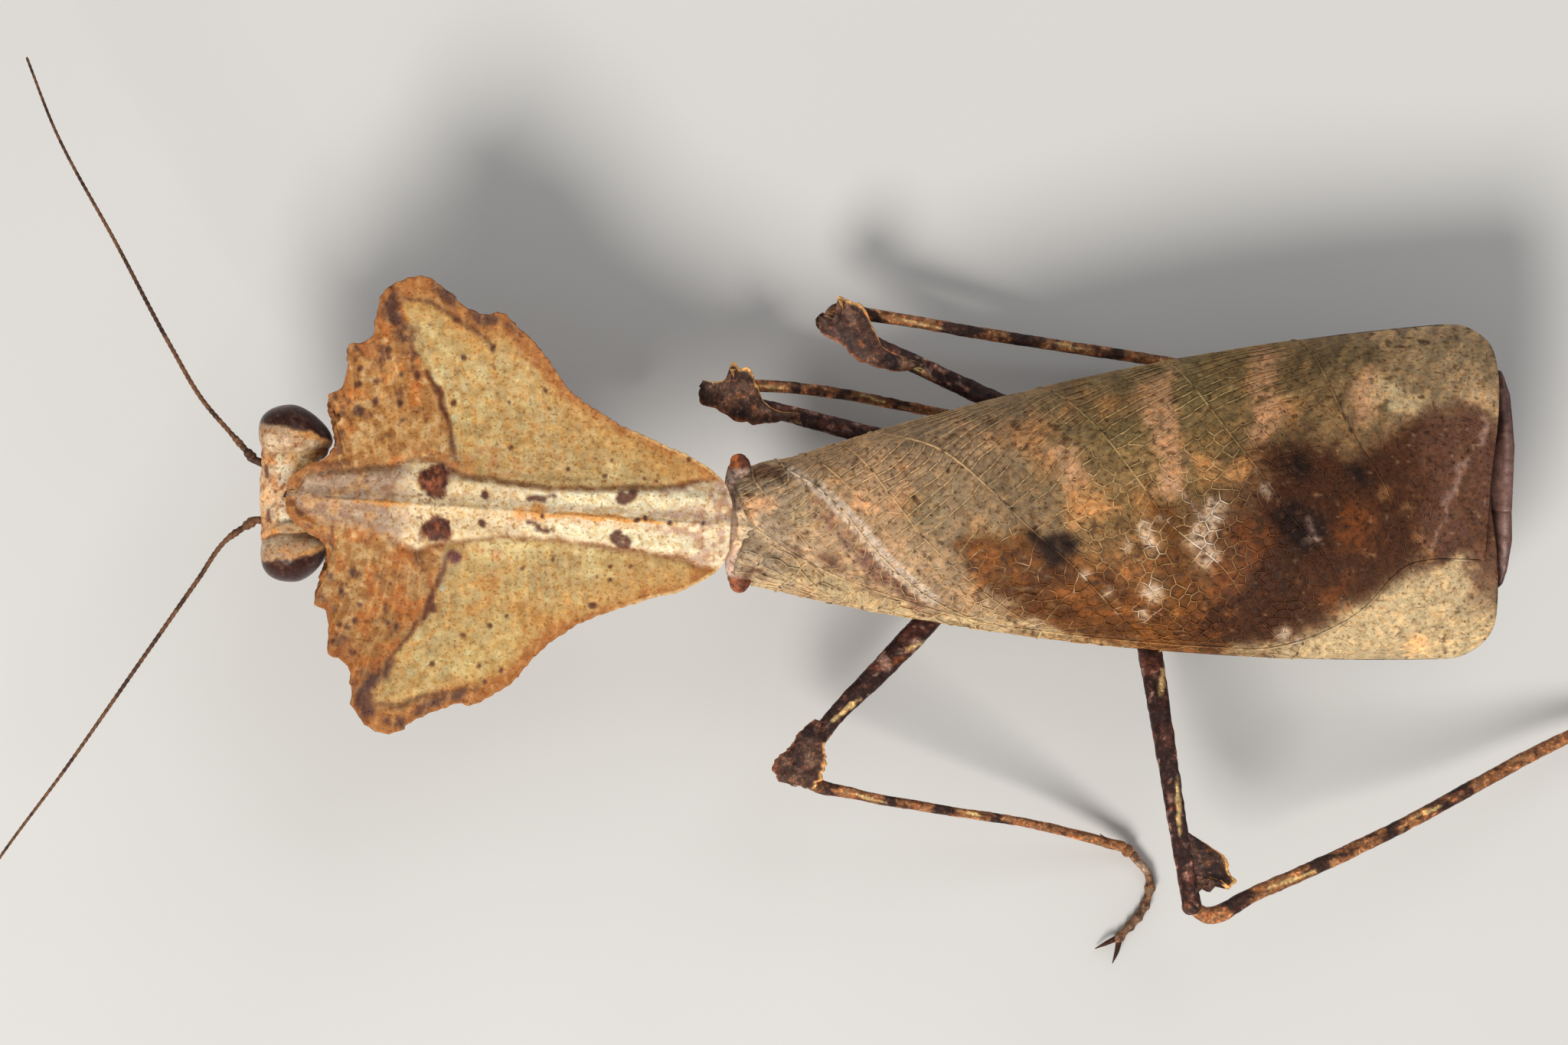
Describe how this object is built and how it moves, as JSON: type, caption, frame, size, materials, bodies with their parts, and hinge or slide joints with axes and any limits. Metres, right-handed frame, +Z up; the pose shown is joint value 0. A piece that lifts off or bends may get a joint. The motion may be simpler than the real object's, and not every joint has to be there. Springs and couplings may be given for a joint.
{
  "type": "giant dead leaf mantis",
  "caption": "Still life-size dead leaf mantis with a leafy shield, folded leaf-like wings and spread legs, standing on its feet.",
  "frame": {"origin": "middle of the footprint, on the floor under the feet", "axes": "+X from the head towards the wing tips, +Y towards the mantis's right side, +Z up from the floor"},
  "size_m": [0.1198, 0.0594, 0.0169],
  "materials": {
    "abdomen": "matte, finely grained",
    "antenna_left": "matte, finely grained",
    "antenna_right": "matte, finely grained",
    "cercus_left": "matte, finely grained",
    "cercus_right": "matte, finely grained",
    "coxa_fore_left": "matte, finely grained",
    "coxa_fore_right": "matte, finely grained",
    "coxa_hind_left": "matte, finely grained",
    "coxa_hind_right": "matte, finely grained",
    "coxa_mid_left": "matte, finely grained",
    "coxa_mid_right": "matte, finely grained",
    "eye_left": "glossy",
    "eye_right": "glossy",
    "femur_fore_left": "matte, finely grained",
    "femur_fore_right": "matte, finely grained",
    "femur_hind_left": "matte, finely grained",
    "femur_hind_right": "matte, finely grained",
    "femur_mid_left": "matte, finely grained",
    "femur_mid_right": "matte, finely grained",
    "head": "matte, finely grained",
    "hindwing_left": "glossy",
    "hindwing_right": "glossy",
    "pronotum": "matte, finely grained",
    "pterothorax": "matte, finely grained",
    "tarsus_fore_left": "matte, finely grained",
    "tarsus_fore_right": "matte, finely grained",
    "tarsus_hind_left": "matte, finely grained",
    "tarsus_hind_right": "matte, finely grained",
    "tarsus_mid_left": "matte, finely grained",
    "tarsus_mid_right": "matte, finely grained",
    "tegmen_left": "matte, finely grained",
    "tegmen_right": "matte, finely grained",
    "tibia_fore_left": "matte, finely grained",
    "tibia_fore_right": "matte, finely grained",
    "tibia_hind_left": "matte, finely grained",
    "tibia_hind_right": "matte, finely grained",
    "tibia_mid_left": "matte, finely grained",
    "tibia_mid_right": "matte, finely grained"
  },
  "bodies": {
    "root": {"abdomen": "abdomen", "antenna_left": "antenna_left", "antenna_right": "antenna_right", "cercus_left": "cercus_left", "cercus_right": "cercus_right", "coxa_fore_left": "coxa_fore_left", "coxa_fore_right": "coxa_fore_right", "coxa_hind_left": "coxa_hind_left", "coxa_hind_right": "coxa_hind_right", "coxa_mid_left": "coxa_mid_left", "coxa_mid_right": "coxa_mid_right", "eye_left": "eye_left", "eye_right": "eye_right", "femur_fore_left": "femur_fore_left", "femur_fore_right": "femur_fore_right", "femur_hind_left": "femur_hind_left", "femur_hind_right": "femur_hind_right", "femur_mid_left": "femur_mid_left", "femur_mid_right": "femur_mid_right", "head": "head", "hindwing_left": "hindwing_left", "hindwing_right": "hindwing_right", "pronotum": "pronotum", "pterothorax": "pterothorax", "tarsus_fore_left": "tarsus_fore_left", "tarsus_fore_right": "tarsus_fore_right", "tarsus_hind_left": "tarsus_hind_left", "tarsus_hind_right": "tarsus_hind_right", "tarsus_mid_left": "tarsus_mid_left", "tarsus_mid_right": "tarsus_mid_right", "tegmen_left": "tegmen_left", "tegmen_right": "tegmen_right", "tibia_fore_left": "tibia_fore_left", "tibia_fore_right": "tibia_fore_right", "tibia_hind_left": "tibia_hind_left", "tibia_hind_right": "tibia_hind_right", "tibia_mid_left": "tibia_mid_left", "tibia_mid_right": "tibia_mid_right"}
  },
  "joints": []
}
